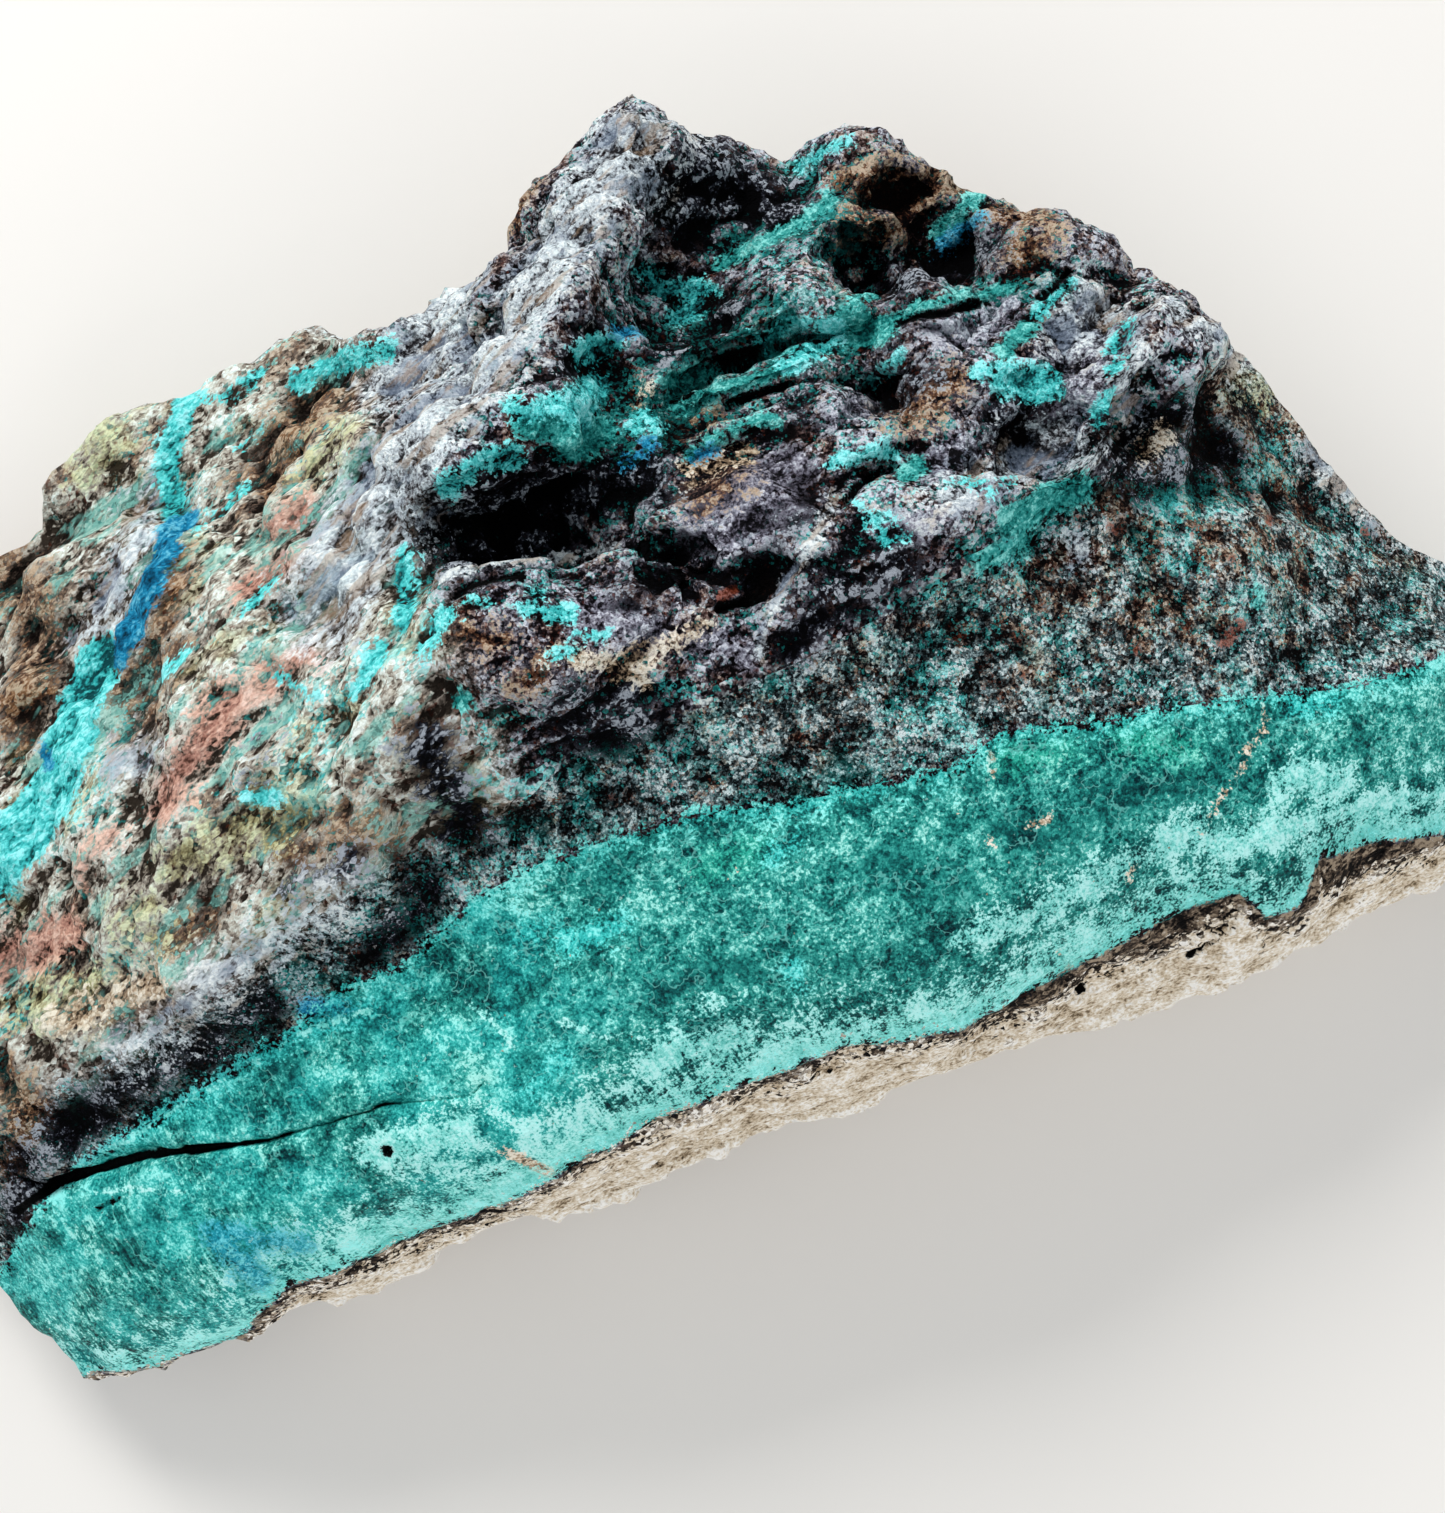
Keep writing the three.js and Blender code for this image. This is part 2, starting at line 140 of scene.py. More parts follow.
def merged(mesh):
    """Corners (mm) and triangles of a mesh of loose triangles, with equal corners joined."""
    place = np.empty(3 * len(mesh.vertices), np.float32)
    mesh.vertices.foreach_get("co", place)
    mesh.calc_loop_triangles()
    faces = np.empty(3 * len(mesh.loop_triangles), np.int32)
    mesh.loop_triangles.foreach_get("vertices", faces)
    corners, joined = np.unique(place.reshape(-1, 3), axis=0, return_inverse=True)
    return 1000.0 * corners, joined.reshape(-1)[faces].reshape(-1, 3)


def split_long_edges(points, faces, longest):
    """Halves each edge longer than longest(its middle), and cuts the triangles on it in two, three
    or four, again and again until no edge is too long."""
    while True:
        sides = np.sort(faces[:, [[0, 1], [1, 2], [2, 0]]], axis=2).reshape(-1, 2)
        names, edge_of = np.unique(sides @ [len(points), 1], return_inverse=True)
        edges = np.stack(np.divmod(names, len(points)), axis=1)
        middle = points[edges].mean(axis=1)
        long = np.linalg.norm(points[edges[:, 0]] - points[edges[:, 1]], axis=1) > longest(middle)
        if not long.any():
            return points, faces
        new = np.full(len(edges), -1)
        new[long] = len(points) + np.arange(long.sum())
        points = np.vstack([points, middle[long]])
        halves = new[edge_of.reshape(-1)].reshape(-1, 3)
        cuts = (halves >= 0).sum(axis=1)
        # Turn each triangle so that its one halved edge comes first, or its one whole edge last.
        first = np.where(cuts == 1, np.argmax(halves >= 0, axis=1), 0)
        first = np.where(cuts == 2, (np.argmin(halves >= 0, axis=1) + 1) % 3, first)
        turned = (first[:, None] + np.arange(3)) % 3
        a, b, c = np.take_along_axis(faces, turned, axis=1).T
        ab, bc, ca = np.take_along_axis(halves, turned, axis=1).T
        parts = [np.stack([a, b, c], axis=1)[cuts == 0]]
        for count, pieces in (
            (1, [(a, ab, c), (ab, b, c)]),
            (2, [(ab, b, bc), (a, ab, bc), (a, bc, c)]),
            (3, [(a, ab, ca), (ab, b, bc), (ca, bc, c), (ab, bc, ca)]),
        ):
            parts += [np.stack(piece, axis=1)[cuts == count] for piece in pieces]
        faces = np.vstack(parts)


def relaxed(points, faces, shares):
    """Moves every corner towards the mean of its neighbours, once for each share of the way."""
    start = faces[:, [0, 1, 1, 2, 2, 0]].ravel()
    end = faces[:, [1, 0, 2, 1, 0, 2]].ravel()
    count = np.bincount(start, minlength=len(points))
    for share in shares:
        sums = [np.bincount(start, points[end, k], len(points)) for k in range(3)]
        points = points + share * (np.stack(sums, axis=1) / count[:, None] - points)
    return points


def normals(points, faces):
    """Unit normal at each corner: the sum of its triangles' normals, weighed by their area."""
    a, b, c = (points[faces[:, k]] for k in range(3))
    across = np.cross(b - a, c - a)
    sums = [np.bincount(faces.ravel(), np.repeat(across[:, k], 3), len(points)) for k in range(3)]
    total = np.stack(sums, axis=1)
    return total / np.linalg.norm(total, axis=1, keepdims=True)


def facets(points, across, seed, hardness=30):
    """Broken facets of this size, about -1 to 1. Space is split among scattered points, each with
    its own tilted flat, and every flat weighs exp(-hardness * distance squared)."""
    draws = np.random.default_rng(seed).uniform(-1, 1, (7, 40, 40, 40))
    q = (points / across).T
    cell = np.floor(q).astype(int)
    total = np.zeros(len(points))
    weight = np.zeros(len(points))
    for step in itertools.product((-1, 0, 1), repeat=3):
        home = cell + np.array(step)[:, None]
        drawn = draws[(slice(None), *(home % 40))]
        away = q - home - 0.5 - 0.5 * drawn[:3]
        near = np.exp(-hardness * (away**2).sum(axis=0))
        total += near * ((drawn[3:6] * away).sum(axis=0) + drawn[6])
        weight += near
    return total / weight


def longest_edge(middle):
    """Fine on the rough upper surface and at the gaps, coarser on the smooth face and the walls."""
    longest = np.interp(middle[:, 2], [0, 0.3, 5, 12], [5, 2.2, 2.0, 0.79])
    smooth_face = middle[:, 1] < line_at(BAND_TOP, middle[:, 0])
    longest = np.where(smooth_face, np.maximum(longest, 0.98), longest)
    from_gap = away_from(middle, CRACK)
    for half, line in GAPS:
        from_gap = np.minimum(from_gap, away_from(middle, line) - half)
    return np.minimum(longest, 0.32 + 0.7 * np.maximum(from_gap - 0.2, 0))


def relief_along(share, grain_way):
    """Broken facets drawn out along grain_way, for the share of each point's surface that has them."""
    here = share > 0
    total = np.zeros(len(points))
    total[here] = sum(height * facets(grain_way[here], across, seed) for across, height, seed in RELIEF)
    return share * total


points, faces = merged(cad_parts["chrysocolla_rock"].data)
points, faces = split_long_edges(points, faces, lambda middle: 1.6 * longest_edge(middle))
resting = points[:, 2:] < 0.01
points = np.where(resting, points, relaxed(points, faces, [0.5, -0.53]))
points, faces = split_long_edges(points, faces, longest_edge)

x, y, z = points.T
lean = normals(relaxed(points, faces, [0.6] * 25), faces)[:, 2]
wall = smooth(0.2, -0.1, lean)  # 1 on the side walls and underneath
foot, head = line_at(VEIN_FOOT, x), line_at(VEIN_TOP, x)
up_the_face = (y - foot) / (head - foot)
face_height = line_at(FOOT_HEIGHT, x) * (1 - up_the_face) + line_at(HEAD_HEIGHT, x) * up_the_face
in_sheet = np.where(wall > 0.1, VEIN_THICKNESS - (face_height - z), 9)
vein_inside = np.minimum(np.minimum(head - y, y - foot), in_sheet)
above_band = smooth(-2, 3, y - line_at(BAND_TOP, x)) * (1 - wall)
in_recess = above_band * smooth(-14, -8, x)
on_slope = above_band * smooth(-8, -14, x)

# The facets are long along the ledges in the recess, and along the streaks on the left slope.
c, s = math.cos(SLOPE_TURN), math.sin(SLOPE_TURN)
streaked = np.stack([0.5 * (c * x + s * y), c * y - s * x, z], axis=1)
relief = relief_along(1 - in_recess - on_slope, points)
relief += RECESS_RELIEF * relief_along(in_recess, points * [0.5, 1, 1])
relief += SLOPE_RELIEF * relief_along(on_slope, streaked)
relief *= 1 - (1 - BAND_RELIEF) * (1 - above_band) * (1 - wall)
relief *= 1 - (1 - VEIN_RELIEF / BAND_RELIEF) * smooth(-0.5, 0.8, vein_inside)
relief *= smooth(0.2, 3, z)
# The crack is open at its left end and nearly closed at its right end.
relief += line_at([(-42, -0.2), (-34, 0.05), (-26, 0.12), (-19, 0.3)], x) * smooth(0.4, 0.1, away_from(points, CRACK)) * (1 - wall)
for half, line in GAPS:
    relief -= 2.5 * half * smooth(1.3 * half, 0.4 * half, away_from(points, line)) * (1 - wall)
points = points + relief[:, None] * normals(points, faces)

# Hollows are measured against copies of the surface that are smoothed over about 1 and 4 mm. The stone darkens its
# colour in them: painted shade.
outward = normals(points, faces)
pores = ((relaxed(points, faces, [0.6] * 3) - points) * outward).sum(axis=1)
hollows = ((relaxed(points, faces, [0.6] * 17) - points) * outward).sum(axis=1)

rock_mesh = bpy.data.meshes.new("rock")
rock_mesh.from_pydata(0.001 * points, [], faces)
rock_mesh.shade_smooth()
rock = bpy.data.objects.new("rock", rock_mesh)
bpy.context.scene.collection.objects.link(rock)
print("rock:", len(points), "corners,", len(faces), "triangles")

# The minerals, each where it lies on the rock: strokes of (half width in mm, line of (x, y)).
TURQUOISE = [  # bright copper silicate crust
    (0.8, [(-23, 28.5), (-25.5, 24.5), (-26.5, 21), (-26, 19)]),  # the seam across the left slope
    (2, [(-33.5, 12), (-36, 9), (-38, 6), (-41.5, 3.5), (-48, 1)]),
    (0.7, [(-15.5, 26), (-13, 26), (-9, 25)]),
    (0.6, [(-2.2, 15.2), (-0.8, 14.6), (1, 14.6)]),
    (0.7, [(14.3, 13.2), (16.5, 13.8), (18, 14.3)]),
    (0.4, [(-22, 27), (-20, 26.5), (-18, 27.5)]),
    (0.3, [(-21, 22.5), (-19, 23.5)]),
    (0.35, [(-24.5, 18), (-22.5, 18.7), (-21, 19.6)]),
    (0.3, [(-22, 10.7), (-20.5, 11.5), (-19.3, 12.2)]),
    (0.3, [(-29, 9.2), (-26.7, 9.7)]),
    (0.2, [(-21, 6.4), (-20, 5), (-19.2, 3.8)]),
    (0.35, [(-25.2, 0), (-23.5, -0.8)]),
    (0.6, [(-11.3, 9.7), (-12, 8), (-12.5, 6)]),  # the knob and its left side
    (0.5, [(-16.5, 3), (-15, 4.1), (-14.3, 5.2)]),
    (0.5, [(-11.4, 3.6), (-10.7, 4.6), (-9.5, 5.1)]),
    (0.6, [(-5.2, 4), (-4.2, 3.2), (-3.2, 2.4)]),
    (0.3, [(-8.6, 5.4), (-7.5, 5)]),
    (0.3, [(-3, 1.4), (-1.8, 0.7)]),
    (0.3, [(-4.7, 0.5), (-3.8, 0.6)]),
    (0.5, [(-7.5, 12.5), (-5, 13), (-3, 13)]),
    (0.3, [(13.4, 15.5), (14.6, 15.7), (16.3, 15.4), (17.7, 14.8)]),  # the ledges in the recess
    (0.6, [(9.3, 19.6), (10.4, 19.7), (11.3, 20)]),
    (0.4, [(8.4, 22.9), (9.1, 21.8), (11.7, 21.3), (12.2, 20.4)]),
    (0.45, [(2.7, 18), (4, 18.3), (5, 18.2)]),
    (0.8, [(1, 14), (1.8, 15.2), (3, 16)]),
    (0.5, [(4, 12.8), (5.2, 13), (5.3, 12)]),
    (0.3, [(19.2, 10.7), (20.7, 11)]),
    (0.4, [(21, 27), (24, 26.5)]),
    (0.45, [(30.2, 10.8), (31.3, 11.2), (33, 12)]),
    (1, [(26, 7.3), (27, 7), (28.5, 6)]),  # the cap, and streaks beside the right crest
    (0.4, [(24.8, 8.1), (25.8, 8)]),
    (0.35, [(34.6, 7.8), (33.3, 6.6), (32, 5)]),
    (0.35, [(31.4, 4), (30, 2.6)]),
    (0.25, [(20, 2.1), (21.7, 1.6)]),
    (0.3, [(21.8, 0.8), (23.7, 1)]),
    (0.3, [(14.6, 1.8), (15.6, 1.6)]),
    (0.35, [(15.4, 0.5), (16.1, 0.3)]),
    (0.2, [(14.2, 3.6), (14.7, 2.6)]),
    (0.45, [(14.4, 5.9), (16, 5.7), (17.6, 5.5)]),
    (0.45, [(-46, -17.8), (-39, -16.5), (-33, -15.4), (-28, -14.5), (-23.4, -14.7)]),  # in the vein
    (0.8, [(-11, -15.1), (-7.2, -15.1)]),
    (0.6, [(-13.4, -13.6), (-10.3, -14)]),
    (0.5, [(-16.2, -23), (-15, -22.3), (-13.6, -21.5)]),
    (0.5, [(4.5, -14), (2.5, -14.5)]),
    (0.4, [(1.3, -21), (1.4, -22.3)]),
    (0.7, [(35.6, -17.6), (38.3, -18.6)]),
]
BLUE = [  # deep blue copper silicate
    (1.1, [(-26, 19), (-27, 16.5), (-28.5, 14.5), (-30, 13), (-31.5, 12)]),
    (0.4, [(-39, 8), (-38.5, 7)]),
    (0.35, [(5.4, 18.8), (6.3, 18.7)]),
    (0.3, [(6.8, 9.5), (8.1, 9.4)]),
    (0.35, [(3, 10.7), (4.8, 11.3)]),
    (0.4, [(30.3, 19), (27.7, 18.7)]),
    (0.5, [(-27.2, -13.4), (-25.2, -13.9)]),
    (1, [(-38.7, -25), (-38, -27), (-37.8, -28.5)]),
    (0.7, [(-38, -25), (-36, -26), (-34, -27.3)]),
]
TEAL = [  # dark green copper silicate, in layers along the ledges
    (1, [(18.4, 14.4), (19.6, 13.9), (20.7, 13.3)]),
    (0.5, [(19.3, 15), (21.5, 15.9)]),
    (0.4, [(7, 14.7), (8.6, 14.9), (10.8, 15), (13.2, 14.8), (15.5, 13.8)]),
    (0.5, [(7, 13.1), (8.6, 13), (10.3, 13.3), (12.5, 12.9), (14.4, 12.9)]),
    (0.45, [(6.7, 9.7), (7.8, 10), (10.8, 10.3), (12.3, 10)]),
    (0.4, [(21.6, 13.6), (25.2, 13.3), (28.6, 13.8), (30, 13.7)]),
    (0.7, [(27, 9), (29.3, 10.1)]),
    (1, [(0, 12.5), (2, 13), (-1.5, 14)]),
    (0.5, [(21.5, 23.5), (19.5, 22.5), (13.5, 22)]),
    (0.6, [(28, 19.5), (29.5, 20), (31.5, 21)]),
    (0.5, [(18, 3.6), (19.2, 3.9)]),
    (0.45, [(-11.2, 0.5), (-10.5, 0)]),
    (0.8, [(22.7, -1.1), (25, -0.6), (27.7, -0.8)]),
    (0.6, [(20.5, -2.8), (23, -2.6)]),
    (0.3, [(36.5, -10.3), (36.4, -11.2)]),
]
GREENISH = [  # many grains of the copper minerals among the dark ones
    (4, [(3, 13), (10, 16), (18, 15)]),
    (2.5, [(27, 14), (32, 12)]),
    (2.5, [(16, 23), (22, 22)]),
    (2, [(20, -2), (27, -0.5)]),
    (2, [(32.5, -3), (40, -3.5)]),
]
MINT = [  # pale powdery coating on the vein
    (1.3, [(-26.2, -23), (-23.5, -23.2), (-20.4, -23.6)]),
    (0.8, [(-25.5, -24.5), (-22.5, -25.3)]),
    (0.9, [(-36.5, -30), (-31, -28.2), (-26, -27.8), (-21.8, -27.8)]),
    (0.9, [(-9.3, -26.8), (-7, -26.2), (-4.4, -25), (-5.6, -24)]),
    (0.4, [(-4.5, -21.3), (-3.6, -22.3), (-3.3, -23.8)]),
    (1.4, [(-8, -23.6), (-5.5, -23.8), (-3, -24)]),
    (0.7, [(-1, -25.5), (3.5, -26), (10, -27)]),
    (0.9, [(11.6, -23.3), (14, -23.4), (20, -23.2), (23, -22.7), (27.6, -22.5)]),
    (1, [(33.4, -21.6), (35, -21.8), (37.2, -23.4)]),
    (0.9, [(27.8, -24), (32.5, -24.6), (38, -25.5), (44, -26.7)]),
]
PALE_LINES = [  # thin pale mint veinlets in the vein
    (0.14, [(-12.7, -19.2), (-10.8, -20.9), (-8, -22.2), (-5.2, -21.4), (-3.5, -21)]),
    (0.12, [(-17.6, -16.2), (-16.7, -17.7), (-16.1, -19.3), (-16, -20)]),
    (0.15, [(-28.4, -21.7), (-27.8, -23), (-27.4, -24.4)]),
    (0.12, [(-46, -19.7), (-43.3, -20.2), (-39.7, -21.5)]),
    (0.15, [(-46, -17.9), (-39, -16.6), (-33, -15.5), (-28, -14.6), (-23.4, -14.8)]),
]
DEEP = [  # darker teal in the vein
    (1.2, [(22, -18.5), (24.7, -19), (27, -19.8)]),
    (1.2, [(16.4, -18.2), (17.7, -20), (19.6, -20)]),
    (1.2, [(8.5, -17.5), (12.5, -20)]),
    (0.6, [(-25.2, -15.1), (-22.5, -15.8)]),
    (0.9, [(-30.8, -15.8), (-29, -18.5)]),
    (0.4, [(-17.5, -16.2), (-14.8, -14.8)]),
    (0.4, [(13.6, -25), (21.5, -25), (25.5, -25)]),
    (0.6, [(39.6, -28.3), (43.5, -29.2)]),
    (0.35, [(-36.5, -27.2)]),
    (0.4, [(-34, -27.3)]),
    (0.6, [(-6.5, -19.5), (-1, -20)]),
    (1.2, [(-46, -24), (-42, -22.5)]),
]
EMERALD = [  # purer, brighter green in the vein
    (1.1, [(25.2, -15.8), (28, -17.5)]),
    (1, [(17.8, -14.3), (21.2, -14.9)]),
    (0.9, [(-1.6, -13.8), (2, -13.9)]),
]
TAN = [  # thin tan veinlets and flecks across the vein
    (0.16, [(34, -16.8), (33.8, -18.3), (31.8, -19.1), (31.4, -20.1), (30, -20.9), (27.6, -22.7)]),
    (0.14, [(17, -13.4), (16.5, -14.7)]),
    (0.16, [(17.4, -18.5), (19.2, -18.4)]),
    (0.16, [(13.2, -16.4), (13.7, -16.3)]),
    (0.16, [(14.7, -18.7), (15.4, -18.2)]),
    (0.2, [(22.3, -24), (23, -23)]),
    (0.16, [(17, -26.7), (17.5, -28.2)]),
    (0.4, [(-19, -25.6), (-18, -27), (-17.3, -28.3)]),
    (0.12, [(-2.6, -14)]),
]
BROWN = [  # iron-stained clay
    (2, [(-39, 22), (-37.7, 18.5), (-37.8, 14), (-40, 11.3)]),
    (0.8, [(-26.2, 16.2), (-27, 13.6), (-28.2, 11.7)]),
    (1.4, [(-32, 9.6), (-30, 10), (-28, 10.3)]),
    (0.9, [(-30.5, 7), (-32, 6.2)]),
    (1.9, [(-19.5, 20.5), (-17, 22.5), (-14, 23.8), (-12, 23)]),
    (1.2, [(-19, 18.6), (-17, 20.3)]),
    (1.4, [(-23.4, -4.3), (-19, -4.6)]),
    (1, [(-33, -6.3), (-30, -5.8)]),
    (0.9, [(-39.6, -9.7), (-30.7, -10.2)]),
    (1.6, [(-48, -11), (-48, -14), (-50.5, -17.4)]),
    (0.7, [(5.7, 11.8), (9.3, 11.7)]),
    (1.3, [(20, 7.3), (21, 7.6), (22.6, 8.2)]),
    (1.3, [(24, 24), (27, 23), (30, 22)]),
    (1, [(31, 19.5), (34, 17)]),
    (1.1, [(6, 7.2), (8.5, 7.6)]),
    (0.9, [(22, 21.5), (25, 20.5)]),
    (0.8, [(31, 15.5), (33, 15.5)]),
    (0.9, [(2.3, 30.7), (4, 31)]),
    (0.7, [(-9.5, 4), (-8, 2.6)]),
    (0.5, [(-6.5, -0.6), (-5.7, 0)]),
]
LIMONITE = [  # yellow-olive iron oxide
    (0.5, [(-15.5, 17.9), (-14, 18.5), (-12.6, 19.2)]),
    (0.9, [(-31, -2), (-27.5, -2), (-24, -2)]),
    (0.8, [(-36, -4.8), (-33.5, -4.6)]),
    (0.9, [(-29.5, 28), (-31, 26)]),
    (1.2, [(-44, -7), (-40, -7.7)]),
    (0.7, [(42, 3.2), (43.5, 2.3)]),
]
BRICK = [  # pale brick-red iron oxide
    (0.8, [(-21.6, 12), (-19.8, 12.4), (-17.7, 12.3)]),
    (1.2, [(-30.7, 1.4), (-28.7, 2.8), (-26.5, 4.2), (-24.5, 5.4)]),
    (0.7, [(-23.5, 5.6), (-22, 6.3)]),
    (0.7, [(-21, 6.3), (-18.7, 6.4)]),
    (0.5, [(-38, -0.2), (-35, 0.9)]),
    (1.2, [(-46.3, -3.6), (-43.4, -3.5), (-41, -3.5)]),
    (1, [(-19, 15.2), (-17, 15.7)]),
]
RUST = [  # rusty specks
    (0.3, [(27, -2.4)]), (0.3, [(29, -3.8), (29.6, -3.6)]), (0.3, [(31.6, -5.6)]),
    (0.3, [(34.2, -5.3)]), (0.25, [(35.5, -8)]), (0.25, [(39.7, -6.3)]), (0.25, [(39.3, -4.5)]),
    (0.25, [(44.8, -8.6)]), (0.3, [(47, -9.5)]), (0.2, [(28.4, -6)]), (0.4, [(34.6, -11.9), (33.2, -12.4)]),
    (0.25, [(23, -6.5)]), (0.25, [(21, -8)]), (0.2, [(27.5, -11)]), (0.25, [(20.5, -10)]),
    (0.2, [(2, -7)]), (0.2, [(-2.5, -6)]), (0.25, [(-5, -8)]), (0.2, [(-1.5, -8.5)]),
    (0.3, [(5.4, 0.6), (6, 0.8)]), (0.2, [(-7.2, -12)]),
]
PALE = [  # pale blue-white quartz
    (2.6, [(-3, 19.5), (1.5, 23), (6, 27), (10.5, 31)]),
    (2.9, [(-17, 9.5), (-12, 13.5), (-8.5, 15.5), (-4, 18.8)]),
    (0.6, [(9, 32.5), (12.3, 31.8), (14, 31.2)]),
    (1.1, [(35, 8), (33.3, 6), (32.4, 4.4), (31, 3)]),
    (1.4, [(20, 1.2), (24, 1.6), (28, 2.4)]),
    (1.7, [(31.5, 9.2), (33.5, 10.4)]),
    (0.8, [(-33.5, 5), (-31.5, 4.6)]),
    (0.9, [(37.7, 7.6), (39, 6.5), (40, 5), (43, 4)]),
    (0.8, [(45.6, -3.4), (47, -5.7), (49, -8.7), (52, -12.6)]),
    (0.9, [(-39.2, -11.7), (-35.4, -10.9), (-31.3, -9.5), (-27.3, -8.8), (-23, -8.1)]),
    (3.2, [(-8, 22.5), (-6.5, 24), (-4, 26.5)]),
    (1.3, [(-33.5, 14), (-31.5, 16.5), (-28.5, 19), (-28, 22)]),
    (0.4, [(26.3, -3.2), (26.3, -4)]),
]
PALE_EDGES = [  # thin pale lines along the crests, where fresh quartz shows
    (0.3, [(6, -3.6), (7, -1.6), (9.2, 0.2), (11.4, 1.7), (13.8, 4.1)]),
    (0.25, [(13.8, 4.1), (15, 2.4), (17.5, 1.4), (21, 1.6), (25, 2.2), (28.5, 3.2)]),
    (0.25, [(-9.5, 7.4), (-5.5, 7.2), (-2.5, 6.6), (0.5, 6.2)]),
]
LILAC = [  # smooth lilac-grey quartz
    (1, [(16, 0.2), (19.5, 0.9), (23, 1.4), (28, 2.5)]),
    (1.5, [(28.6, 3.8), (30, 5), (32, 6.7), (33.6, 8.5)]),
    (1.2, [(30.4, 7.5), (33.5, 9.6)]),
    (1.2, [(-2.6, 2.2), (-1, 1.2), (0.5, 0)]),
    (1.7, [(6.2, 6.6), (8.5, 6.2), (11.8, 6.4)]),
    (1.4, [(5.3, 4.3), (7.7, 3.9), (10.8, 3.9)]),
    (1, [(2.7, -1.1), (4.3, -1.7), (5.3, -3)]),
    (1.2, [(24, 11), (27, 11), (29, 12)]),
    (1.3, [(19.5, 3.4), (22, 3.8)]),
    (1, [(16, 8.7), (18, 9)]),
]
CLAY = [  # pale tan clay in hollows and on rims
    (0.4, [(0, -1.2), (1.5, -0.9), (3.8, -0.6)]),
    (0.4, [(-4.5, 0.6), (-2.6, -0.5), (-0.6, -1.6)]),
    (0.5, [(6.4, 8.8), (7.7, 8.9), (9.4, 8.4)]),
    (0.3, [(5, 14), (5.8, 14.7)]),
    (0.35, [(33, 0.2), (34.7, 0.6)]),
    (0.8, [(-43, -8.5), (-35, -8.7)]),
]
# Black: bare black matrix in places, and painted shade elsewhere: on the peak's shaded right side, in the hollow
# above the knob, on the knob's front faces, under the right crest and in deep recesses.
BLACK_AND_SHADE = [  # bare black matrix and deep recesses
    (0.45, [(13.3, 9), (14, 10), (15.5, 11.7)]),
    (0.3, [(20.6, 12), (21, 12.7), (22.7, 15.5), (24, 18)]),
    (0.45, [(12.8, 4.3), (11.6, 3.6), (9.5, 2.6)]),
    # painted shade on the peak's shaded right side
    (2.1, [(10.6, 29), (11.3, 27.4), (12.6, 25.6)]),
    (2.4, [(14.5, 28.8), (16.4, 26.3), (18.3, 24)]),
    (2.2, [(11, 27.5), (14.5, 26.5)]),
    (1.2, [(4.3, 19), (2.8, 18.2), (1.2, 17)]),
    (1, [(7, 16.6), (10, 17), (13, 18.6)]),
    (0.8, [(21.6, 12.8), (23.2, 13.8)]),
    # painted shade in the hollow above the knob
    (2, [(-9.5, 11), (-6, 11), (3.5, 9.5)]),
    (1.6, [(-8.5, 8.5), (-3, 8)]),
    (0.9, [(1, 2.6), (2, 3.2), (3.5, 3.9)]),
    (0.8, [(5.4, 0.4), (7, 0.8), (9, 0.6)]),
    (1.1, [(8.6, -3.3), (11, -1.8), (13.7, -1.3), (15.6, -1.1)]),
    (0.7, [(9, -1), (11, 0)]),
    (1.3, [(23.4, 15.5), (26.5, 17), (29.5, 17.4)]),
    (0.9, [(24.6, 5.2), (26, 5), (28, 4.6)]),
    (0.8, [(24.7, 4), (26.7, 3.8)]),
    (0.8, [(20.5, 9), (21.8, 9.3)]),
    # painted shadow under the right crest
    (1.1, [(30.7, 0.6), (32, 1.3), (34, 1.6), (36.6, 1.5)]),
    (0.9, [(30, 0.3), (33, -0.1), (35.4, 0.1)]),
    (1, [(31.5, -1.4), (35.5, -1.7), (39, -1.3)]),
    # partly black rock, partly painted shade on the knob's front faces
    (1, [(-4.5, -1.5), (-3, -2.7), (-1, -2.7)]),
    (1, [(-6, -2.7), (-4, -4), (-1.2, -4.5)]),
    (1.4, [(-13.5, -1.6), (-14, -4), (-13.2, -6.2)]),
    (0.6, [(-25, -6), (-22.6, -6), (-20, -6)]),
    (0.4, [(-24.6, 0.4), (-23.3, 1.8)]),
    (1.2, [(-52, -19.5), (-49, -16.5), (-44, -15), (-40.5, -13.7), (-36.3, -13.4), (-29.2, -11.7)]),
    (0.6, [(-22, -11), (-17, -9)]),
]


def reach(strokes):
    """How far (mm) each point lies inside the nearest stroke, and below 0 outside."""
    field = np.full(len(points), -5.0)
    for half, line in strokes:
        field = np.maximum(field, half - away_from(points, line))
    return field


gap = np.full(len(points), -1.0)
for half, line in GAPS:
    gap = np.maximum(gap, half - away_from(points, line))
crack = line_at([(-53, -1), (-52, 0.3), (-44, 0.2), (-38, 0.18), (-28, 0.15), (-21, 0.12), (-19.4, -0.2)], x)
near_foot = smooth(6, 3, y - foot) * smooth(-18, -12, x) * smooth(10, 4, x)

